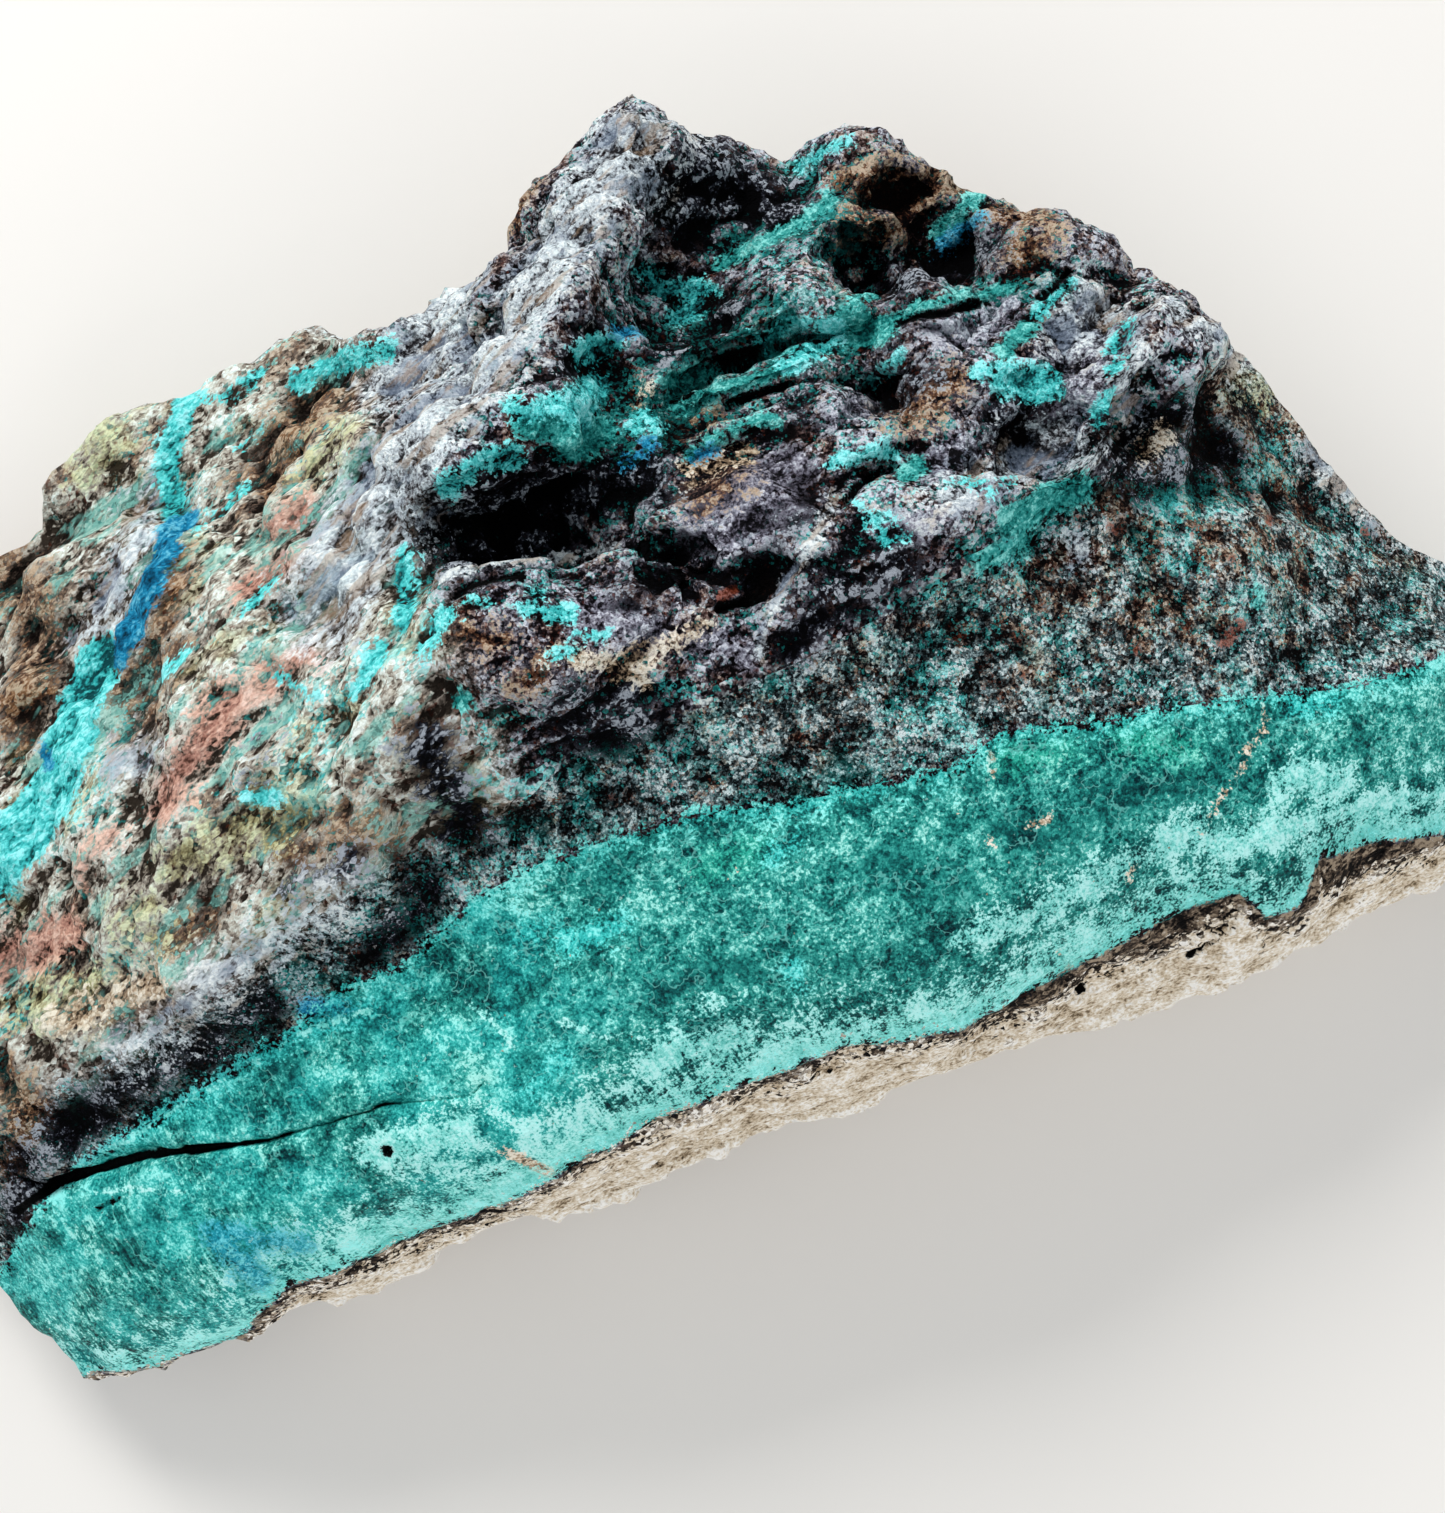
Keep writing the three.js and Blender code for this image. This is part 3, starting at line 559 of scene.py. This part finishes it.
# The fields are in mm, positive inside, apart from the shares at the end.
fields = {
    "turquoise": reach(TURQUOISE) - wall,
    "blue": reach(BLUE) - wall,
    "teal": reach(TEAL) - 2 * wall,
    "mint": np.maximum(reach(MINT), 1.3 + 0.3 * smooth(-5, -15, x) - 0.6 * smooth(-28, -34, x) - 0.45 * (y - foot)),
    "pale lines": reach(PALE_LINES),
    "deep": reach(DEEP),
    "emerald": reach(EMERALD),
    "tan": reach(TAN),
    "brown": reach(BROWN),
    "limonite": reach(LIMONITE),
    "brick": reach(BRICK) - wall,
    "rust": reach(RUST),
    "pale": reach(PALE) - 2 * wall,
    "pale edges": reach(PALE_EDGES),
    "lilac": reach(LILAC) - 2 * wall,
    "clay": reach(CLAY) - wall,
    "black": reach(BLACK_AND_SHADE) - 2 * wall,
    "vein": np.clip(vein_inside, -5, 5),
    "foot": np.clip(foot - y, -5, 5),
    "crust": np.clip(foot - y - line_at(SEAM_WIDTH, x), -5, 5),
    "band": np.clip(np.minimum(y - head, line_at(BAND_TOP, x) - y), -5, 5) - 5 * wall,
    "gap": gap - wall,
    "crack": crack - wall,
    "across crack": np.clip(y - line_at(CRACK, x), -2, 2),
    "pores": pores,
    "hollows": hollows,
    "slope": on_slope,
    "recess": in_recess,
    "wall": wall,
    "greenish": smooth(-1, 3, reach(GREENISH)) * (1 - wall),
    "rusty": smooth(8, 26, x) * smooth(-16, -8, y),
    "left half": smooth(-3, -17, x),
    "fibrous": np.maximum(smooth(-27, -34, x), near_foot),
}
for name, field in fields.items():
    layer = rock_mesh.attributes.new(name, "FLOAT", "POINT")
    layer.data.foreach_set("value", field.astype(np.float32))

# The rock's stone: fine grains of black, grey and lilac-white quartz, with the copper minerals and
# iron stains over it. Grains are 0.25 to 1 mm. The vein is satin and the rest is matt.
material = bpy.data.materials.new("broken copper ore")
material.use_nodes = True
tree = material.node_tree
tree.nodes.clear()


def linear(colour):
    """An sRGB hex colour as linear red, green and blue, and an alpha of 1."""
    parts = [int(colour[k : k + 2], 16) / 255 for k in (1, 3, 5)]
    return [p / 12.92 if p <= 0.04045 else ((p + 0.055) / 1.055) ** 2.4 for p in parts] + [1]


def add(kind, inputs=None, **settings):
    """Adds a node to the stone, with its settings, and links or sets its inputs."""
    node = tree.nodes.new("ShaderNode" + kind)
    for name, value in settings.items():
        setattr(node, name, value)
    for name, value in (inputs or {}).items():
        if isinstance(value, bpy.types.NodeSocket):
            tree.links.new(value, node.inputs[name])
        else:
            node.inputs[name].default_value = value
    return node


def field(name):
    """A field of the rock by its name."""
    return add("Attribute", attribute_name=name).outputs["Fac"]


def sum_of(*parts, base=0.0):
    """base plus each (value, share) pair's value times its share."""
    total = base
    for value, share in parts:
        total = add("Math", {0: value, 1: share, 2: total}, operation="MULTIPLY_ADD").outputs[0]
    return total


def mineral(tone, *colours):
    """Colour of a mineral, from its darkest grains at tone 0 to its brightest at 1."""
    ramp = add("ValToRGB", {"Fac": tone})
    for _ in colours[2:]:
        ramp.color_ramp.elements.new(0.5)
    for k, colour in enumerate(colours):
        ramp.color_ramp.elements[k].position = k / (len(colours) - 1)
        ramp.color_ramp.elements[k].color = linear(colour)
    return ramp.outputs["Color"]


def edge(value, low, high):
    """0 to 1 as value goes from low to high, softened at both ends."""
    inputs = {"Value": value, "From Min": low, "From Max": high}
    return add("MapRange", inputs, interpolation_type="SMOOTHSTEP").outputs["Result"]


def times(one, other):
    """The product of two values."""
    return add("Math", {0: one, 1: other}, operation="MULTIPLY").outputs[0]


def above(value, limit):
    """1 where value is over the limit, and 0 elsewhere."""
    return add("Math", {0: value, 1: limit}, operation="GREATER_THAN").outputs[0]


def scaled(vector, stretch):
    """A vector times a stretch along each axis."""
    return add("VectorMath", {0: vector, 1: stretch}, operation="MULTIPLY").outputs[0]


def turned(vector, angle):
    """A vector turned about Z."""
    return add("VectorRotate", {"Vector": vector, "Angle": angle}, rotation_type="Z_AXIS").outputs[0]


def noise(vector, size, detail):
    """Noise of this size, from about -0.3 to 0.3."""
    inputs = {"Vector": vector, "Scale": 1 / size, "Detail": detail, "Roughness": 0.6}
    made = add("TexNoise", inputs).outputs["Fac"]
    return add("Math", {0: made, 1: 0.5}, operation="SUBTRACT").outputs[0]


def over(below, above, amount):
    """One colour laid over another where amount is 1."""
    return add("Mix", {0: amount, 6: below, 7: above}, data_type="RGBA").outputs[2]


def stained(below, above, where, ragged=1.0, width=0.12, strength=1.0):
    """A mineral over the colour below where its field is above 0 mm, with an edge that follows the
    grains and wanders by about a millimetre times ragged."""
    amount = edge(sum_of((wander, ragged), (where, 1.0)), -width, width)
    return over(below, above, times(amount, strength))


mm = add("VectorMath", {0: add("TexCoord").outputs["Object"], "Scale": 1000}, operation="SCALE").outputs[0]
# Steep faces are streaked down the fall line: there the pattern is drawn longer along Z. The left
# slope is streaked along its grain. The band and the vein have finer grains than the rest.
along = scaled(turned(mm, -SLOPE_TURN), (0.7, 1.1, 0.8))
on_left = above(sum_of((noise(mm, 1.5, 1), 1.0), (field("slope"), 1.0)), 0.5)
place = add("Mix", {0: on_left, 4: scaled(mm, (1, 1, 0.65)), 5: along}, data_type="VECTOR").outputs[1]
fineness = sum_of((above(field("band"), 0.0), 0.7), (above(field("vein"), 0.0), 0.5), (above(field("recess"), 0.6), 0.35), base=1.15)
place = add("VectorMath", {0: place, "Scale": fineness}, operation="SCALE").outputs[0]

speck = noise(place, 0.3, 1)
blotch = noise(place, 2, 4)
cloud = noise(place, 7, 3)
# Fine fibres in the vein, nearly across it.
fibre = noise(scaled(turned(mm, math.radians(-9)), (4, 0.6, 1)), 1, 2)
cells = add("TexVoronoi", {"Vector": place, "Scale": 1 / 0.42, "Detail": 1, "Roughness": 0.5}, normalize=True)
drawn = add("SeparateColor", {0: cells.outputs["Color"]})
tone, kind, third = (sum_of((drawn.outputs[k], 1.0), base=-0.5) for k in range(3))
# Painted shade: how much darker the colour grows in the pores and hollows.
pore_shade = edge(field("pores"), -0.1, 0.16)
hollow_shade = edge(field("hollows"), -0.4, 0.7)
wander = sum_of((blotch, 4.0), (speck, 1.2), (tone, 1.3))
flake = sum_of((blotch, 4.5), (speck, 3.5), (tone, 0.8))

# Tone of the grains: one value for each crystal, broken up by finer noise, and darker in the pores and hollows,
# which is painted shade.
grain = sum_of((tone, 1.1), (speck, 1.1), (blotch, 1.4), (cloud, 0.6), (pore_shade, -0.4), (hollow_shade, -0.45), (times(hollow_shade, field("recess")), -0.2), base=0.77)
soft_grain = sum_of((tone, 0.5), (speck, 1.2), (blotch, 1.6), (cloud, 1.0), (pore_shade, -0.2), (hollow_shade, -0.2), base=0.66)

mixed_grain = sum_of((grain, 0.5), (soft_grain, 0.5))

dark_quartz = mineral(grain, "#010103", "#17151b", "#49464e", "#8a8993", "#d0d4dd")
lilac_quartz = mineral(mixed_grain, "#0b0a0e", "#3f3c46", "#777582", "#a5a6b3", "#dfe2ea")
slope_clay = mineral(grain, "#322b24", "#8b8175", "#bdb9ac", "#d8ddd0", "#f1faf3")
pepper = mineral(grain, "#010304", "#1c2729", "#4a5c5f", "#869a9c", "#d9e5e4")
pale_quartz = mineral(mixed_grain, "#232225", "#7c7e82", "#bac3c8", "#d7e2e6", "#f4f9f6")
brown_clay = mineral(grain, "#050100", "#1e0f09", "#51311e", "#86603f", "#bda488")
pale_clay = mineral(grain, "#2e241a", "#806a54", "#b89f83", "#dccbb2", "#f6ecd9")
limonite = mineral(grain, "#2c2610", "#77704a", "#aaa677", "#d6dba9")
brick = mineral(soft_grain, "#5a3a30", "#ad7a6a", "#d9a590", "#f6cbb6")
rust = mineral(soft_grain, "#1c0904", "#5c2412", "#a0533a")
black = mineral(grain, "#000001", "#020204", "#0b0b11", "#31343d", "#a3a9b1")
turquoise = mineral(mixed_grain, "#124a4d", "#33adac", "#62dcd9", "#a0fafa")
vein_turquoise = mineral(soft_grain, "#0a6464", "#1d9f9b", "#43d0c8", "#8ffbf3")
deep_blue = mineral(soft_grain, "#06222f", "#0e587a", "#1f8bb3", "#6cc4dc")
vein_blue = mineral(soft_grain, "#0a4655", "#147283", "#249dae", "#6fd6de")
teal = mineral(soft_grain, "#073f3f", "#1c807b", "#48b1aa", "#95ede4")
emerald = mineral(soft_grain, "#075647", "#189079", "#35c3a6", "#8deed6")
vein_tone = sum_of(
    (edge(sum_of((flake, 0.6), (field("deep"), 1.0)), -0.5, 1.5), -0.28),
    (times(fibre, field("fibrous")), 1.4),
    (tone, 0.6), (speck, 1.0), (blotch, 1.4), (cloud, 1.3), (pore_shade, -0.2), base=0.61,
)
vein_green = mineral(vein_tone, "#02252b", "#0b5351", "#1e827a", "#46b3a6", "#abf5e8")
mint_tone = sum_of((soft_grain, 1.0), (fibre, 0.8), base=0.08)
mint = mineral(mint_tone, "#1f837b", "#5bc6ba", "#8fe9de", "#c4fff8")

colour = over(dark_quartz, slope_clay, field("slope"))
colour = over(colour, slope_clay, times(field("wall"), 0.55))
# Brown and rusty grains crowd the right part of the band, and teal ones its left part.
wash = edge(sum_of((noise(mm, 2.6, 3), 1.0), (third, 0.3), (field("rusty"), 0.16)), 0.1, 0.2)
band_wash = over(pepper, brown_clay, times(wash, 0.8))
wash = edge(sum_of((noise(mm, 1.3, 2), 1.0), (kind, 0.3), (field("rusty"), 0.05)), 0.2, 0.26)
band_wash = over(band_wash, rust, times(wash, 0.7))
wash = edge(sum_of((noise(mm, 3.4, 3), 1.0), (tone, 0.2), (field("rusty"), -0.05)), 0.04, 0.14)
band_wash = over(band_wash, teal, times(wash, 0.22))
colour = stained(colour, band_wash, field("band"), width=0.5)
# The left slope has broad washes of brown clay, of limonite and of pale mint, drawn along its grain.
wash = edge(noise(along, 5, 3), 0.03, 0.12)
colour = over(colour, brown_clay, times(times(wash, field("slope")), 0.75))
wash = edge(noise(along, 6.5, 3), 0.05, 0.15)
colour = over(colour, limonite, times(times(wash, field("slope")), 0.6))
wash = edge(noise(scaled(along, (0.6, 1.4, 1)), 3.2, 3), 0.05, 0.12)
colour = over(colour, linear("#8fd6c8"), times(times(wash, field("slope")), 0.6))
wash = edge(sum_of((noise(mm, 3, 3), 1.0), (third, 0.15)), 0.05, 0.13)
colour = over(colour, brown_clay, times(times(wash, field("recess")), 0.6))
# Grains of the copper minerals, of clay and of rust are mixed in with the others.
some = edge(sum_of((third, -1.0), (blotch, -1.5), (cloud, -1.0)), 0.2, 0.34)
colour = over(colour, brown_clay, times(some, 0.5))
some = edge(sum_of((kind, 1.0), (blotch, 1.0), (cloud, 1.2), (field("greenish"), 0.5)), 0.24, 0.34)
colour = over(colour, teal, times(some, 0.6))
some = edge(sum_of((third, 1.0), (cloud, 1.4), (blotch, 1.0), (field("greenish"), 0.2)), 0.44, 0.5)
colour = over(colour, turquoise, times(some, 0.7))
some = edge(sum_of((kind, -1.0), (cloud, -0.8)), 0.4, 0.46)
colour = over(colour, rust, times(some, 0.6))
colour = stained(colour, lilac_quartz, field("lilac"), ragged=1.0, width=0.5, strength=0.9)
colour = stained(colour, brown_clay, field("brown"), ragged=2.0, width=0.6, strength=0.9)
colour = stained(colour, limonite, field("limonite"), ragged=2.5, width=1.5, strength=0.8)
colour = stained(colour, brick, field("brick"), ragged=1.3, width=0.5, strength=0.85)
# Black: bare matrix, and painted shade on shaded faces and in deep recesses.
colour = stained(colour, black, field("black"), ragged=1.8, width=0.7)
wash = edge(noise(along, 3, 3), -0.02, 0.12)
pale_quartz = over(pale_quartz, linear("#7f8ea3"), times(wash, 0.65))
wash = edge(noise(scaled(along, (0.6, 1.6, 1)), 2.2, 3), 0.03, 0.12)
pale_quartz = over(pale_quartz, linear("#a98f76"), times(wash, 0.6))
colour = stained(colour, pale_quartz, field("pale"), ragged=2.0, width=1.2, strength=0.9)
colour = stained(colour, pale_quartz, field("pale edges"), ragged=0.35, width=0.2, strength=0.9)
colour = stained(colour, pale_clay, field("clay"), ragged=1.0, width=0.3, strength=0.9)
colour = stained(colour, rust, field("rust"), ragged=0.4, width=0.2, strength=0.85)
colour = stained(colour, teal, field("teal"), ragged=0.5, width=0.15)
colour = stained(colour, turquoise, field("turquoise"), ragged=0.6, width=0.15)
colour = stained(colour, deep_blue, field("blue"), ragged=0.6, width=0.2)

streaks = times(fibre, field("fibrous"))
vein_colour = over(vein_green, emerald, times(edge(sum_of((flake, 1.0), (field("emerald"), 1.0)), -0.8, 1.2), 0.6))
wash = edge(noise(mm, 5, 2), -0.12, 0.06)
vein_colour = over(vein_colour, vein_turquoise, times(times(wash, field("left half")), 0.6))
coated = edge(sum_of((flake, 1.0), (field("mint"), 1.0), (cloud, 3.5), (streaks, 3.5)), -0.3, 0.6)
vein_colour = over(vein_colour, mint, times(coated, 0.92))
vein_colour = over(vein_colour, vein_turquoise, edge(sum_of((flake, 0.8), (field("turquoise"), 1.0)), -0.3, 0.6))
vein_colour = over(vein_colour, vein_blue, edge(sum_of((flake, 0.8), (field("blue"), 1.0)), -0.5, 0.5))
vein_colour = over(vein_colour, linear("#b9f2e6"), times(edge(sum_of((third, 1.0), (cloud, 0.5)), 0.42, 0.47), 0.45))
web = add("Math", {0: noise(mm, 4, 4)}, operation="ABSOLUTE").outputs[0]
vein_colour = over(vein_colour, linear("#8bf0e3"), times(edge(web, 0.011, 0.003), 0.35))
vein_colour = over(vein_colour, linear("#083c40"), times(edge(sum_of((kind, 1.0), (cloud, -0.5)), 0.42, 0.47), 0.6))
vein_colour = over(vein_colour, mint, edge(sum_of((flake, 0.15), (field("pale lines"), 1.0)), -0.1, 0.08))
vein_colour = over(vein_colour, pale_clay, edge(sum_of((flake, 0.25), (field("tan"), 1.0)), -0.08, 0.1))
vein_colour = over(vein_colour, pale_clay, times(above(kind, 0.49), 0.8))
fringe = edge(sum_of((field("vein"), -1.0), (flake, 1.6), (cloud, 3.0), base=0.4), -0.2, 0.5)
vein_colour = over(vein_colour, vein_turquoise, times(fringe, 0.6))
on_vein = edge(sum_of((wander, 0.8), (field("vein"), 1.0)), -0.1, 0.1)
colour = over(colour, vein_colour, on_vein)

# The crust is darker in its pores and hollows: painted shade.
crust_tone = sum_of((tone, 0.4), (speck, 1.2), (blotch, 1.2), (hollow_shade, -0.35), (pore_shade, -0.3), base=0.86)
tan_crust = mineral(crust_tone, "#2b2118", "#8b785f", "#d0bda2", "#ece0cd", "#fffaf2")
below_vein = edge(sum_of((wander, 0.4), (field("foot"), 1.0)), 0.0, 0.15)
seam = mineral(grain, "#040303", "#1d1815", "#5a4c40", "#a3917b")
colour = over(colour, seam, below_vein)
below_seam = edge(sum_of((wander, 0.8), (kind, 2.0), (third, 1.2), (field("crust"), 1.0)), -0.1, 0.25)
specks = edge(sum_of((third, 1.0), (blotch, 1.6), (field("crust"), -0.12)), 0.2, 0.34)
tan_crust = over(tan_crust, seam, times(specks, 0.75))
colour = over(colour, tan_crust, below_seam)
# The crack and the slits are open, and painted near black inside as their shade.
colour = over(colour, linear("#010101"), edge(sum_of((wander, 0.25), (field("gap"), 1.0)), -0.1, 0.05))
beside = add("Math", {0: field("across crack")}, operation="ABSOLUTE").outputs[0]
crack_shade = edge(sum_of((beside, -1.0), (speck, 0.15), (field("crack"), 1.0)), -0.05, 0.04)
colour = over(colour, linear("#010202"), crack_shade)

# Each crystal's face has its own tilt: a height of the tilt times the way from its middle.
from_middle = add("VectorMath", {0: place, 1: cells.outputs["Position"]}, operation="SUBTRACT").outputs[0]
tilt = add("VectorMath", {0: cells.outputs["Color"], 1: (0.5, 0.5, 0.5)}, operation="SUBTRACT").outputs[0]
crystal = add("VectorMath", {0: tilt, 1: from_middle}, operation="DOT_PRODUCT").outputs["Value"]
smoother = edge(field("vein"), -0.3, 0.3)
height = times(sum_of((speck, 0.2), (crystal, 0.8)), sum_of((smoother, -0.65), base=1.0))
bump = add("Bump", {"Height": height, "Distance": 0.001, "Strength": 1.0})
roughness = sum_of((on_vein, -0.35), base=0.85)
surface = add(
    "BsdfPrincipled",
    {"Base Color": colour, "Roughness": roughness, "Normal": bump.outputs["Normal"], "Specular IOR Level": 0.05},
)
add("OutputMaterial", {"Surface": surface.outputs["BSDF"]})
rock_mesh.materials.append(material)
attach(rock, "root")
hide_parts("chrysocolla_rock")

# The floor: a plain pale matt surface that runs far beyond the rock.
floor_mesh = bpy.data.meshes.new("floor")
floor_mesh.from_pydata([(-9, -9, 0), (9, -9, 0), (9, 9, 0), (-9, 9, 0)], [], [(0, 1, 2, 3)])
floor = bpy.data.objects.new("floor", floor_mesh)
bpy.context.scene.collection.objects.link(floor)
floor_paint = bpy.data.materials.new("pale matt floor")
floor_paint.use_nodes = True
floor_paint.node_tree.nodes["Principled BSDF"].inputs["Base Color"].default_value = linear("#f1ece5")
floor_paint.node_tree.nodes["Principled BSDF"].inputs["Roughness"].default_value = 0.6
floor_mesh.materials.append(floor_paint)

# The light: a window's soft light from beyond the back of the rock, and a pale sky all round.
VIEW_TURN = math.radians(-21)  # the camera's turn about Z, so that the vein runs up to the right
toward_key = Matrix.Rotation(VIEW_TURN, 3, "Z") @ Vector((-0.4, 0.9, 0.85)).normalized()
key = bpy.data.objects.new("window light", bpy.data.lights.new("window light", "AREA"))
key.data.energy = 1.7
key.data.size = 0.16
key.location = 0.5 * toward_key
key.rotation_euler = (-toward_key).to_track_quat("-Z", "Y").to_euler()
bpy.context.scene.collection.objects.link(key)
fill = bpy.data.objects.new("soft fill", bpy.data.lights.new("soft fill", "AREA"))
fill.data.energy = 1.1
fill.data.size = 0.5
toward_fill = Matrix.Rotation(VIEW_TURN, 3, "Z") @ Vector((0.3, -0.85, 0.55)).normalized()
fill.location = 0.6 * toward_fill
fill.rotation_euler = (-toward_fill).to_track_quat("-Z", "Y").to_euler()
bpy.context.scene.collection.objects.link(fill)
world = bpy.data.worlds.new("sky")
world.use_nodes = True
world.node_tree.nodes["Background"].inputs["Color"].default_value = linear("#eef4fb")
world.node_tree.nodes["Background"].inputs["Strength"].default_value = 0.62
bpy.context.scene.world = world

# The camera looks straight down, as in the photo.
camera = bpy.data.objects.new("camera", bpy.data.cameras.new("camera"))
camera.data.lens = 60
camera.data.sensor_width = 36
camera.data.clip_start = 0.001
camera.location = (0.002, -0.008, 0.1813)
camera.rotation_euler = (0, 0, VIEW_TURN)
bpy.context.scene.collection.objects.link(camera)
bpy.context.scene.camera = camera
bpy.context.scene.view_settings.view_transform = "Standard"
